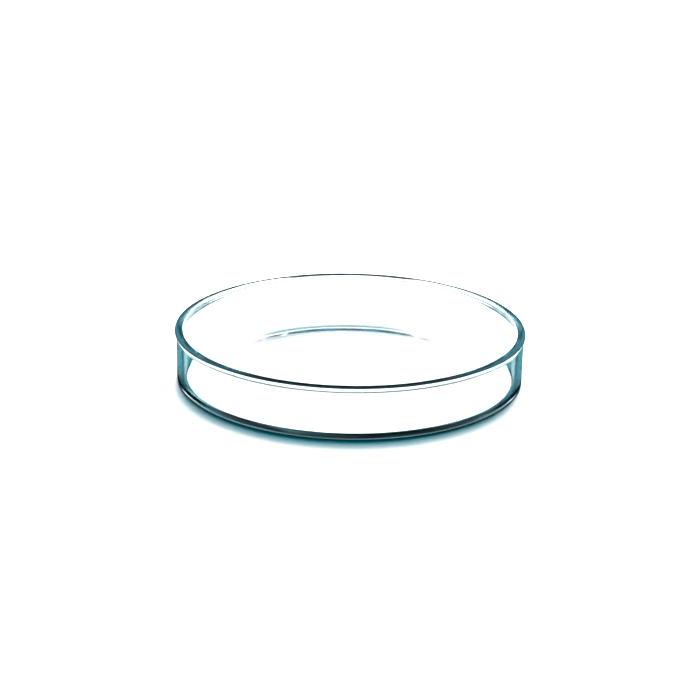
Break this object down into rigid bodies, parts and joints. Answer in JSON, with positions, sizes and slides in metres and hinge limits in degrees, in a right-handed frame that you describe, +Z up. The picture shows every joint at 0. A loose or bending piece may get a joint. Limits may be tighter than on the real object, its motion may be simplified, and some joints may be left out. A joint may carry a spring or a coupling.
{
  "type": "petri dish",
  "caption": "Shallow round laboratory dish of clear glass, open at the top, with a straight wall, flat floor and a proud rounded lip.",
  "frame": {"origin": "centre of the underside, on the plane the dish stands on", "axes": "+Z up along the dish's axis, out of its open mouth; X and Y lie in the plane it stands on and are interchangeable"},
  "size_m": [0.1, 0.1, 0.015],
  "materials": {
    "clear_glass": "clear polished glass, faintly blue-green through its edges"
  },
  "bodies": {
    "root": {"dish": "clear_glass"}
  },
  "joints": []
}
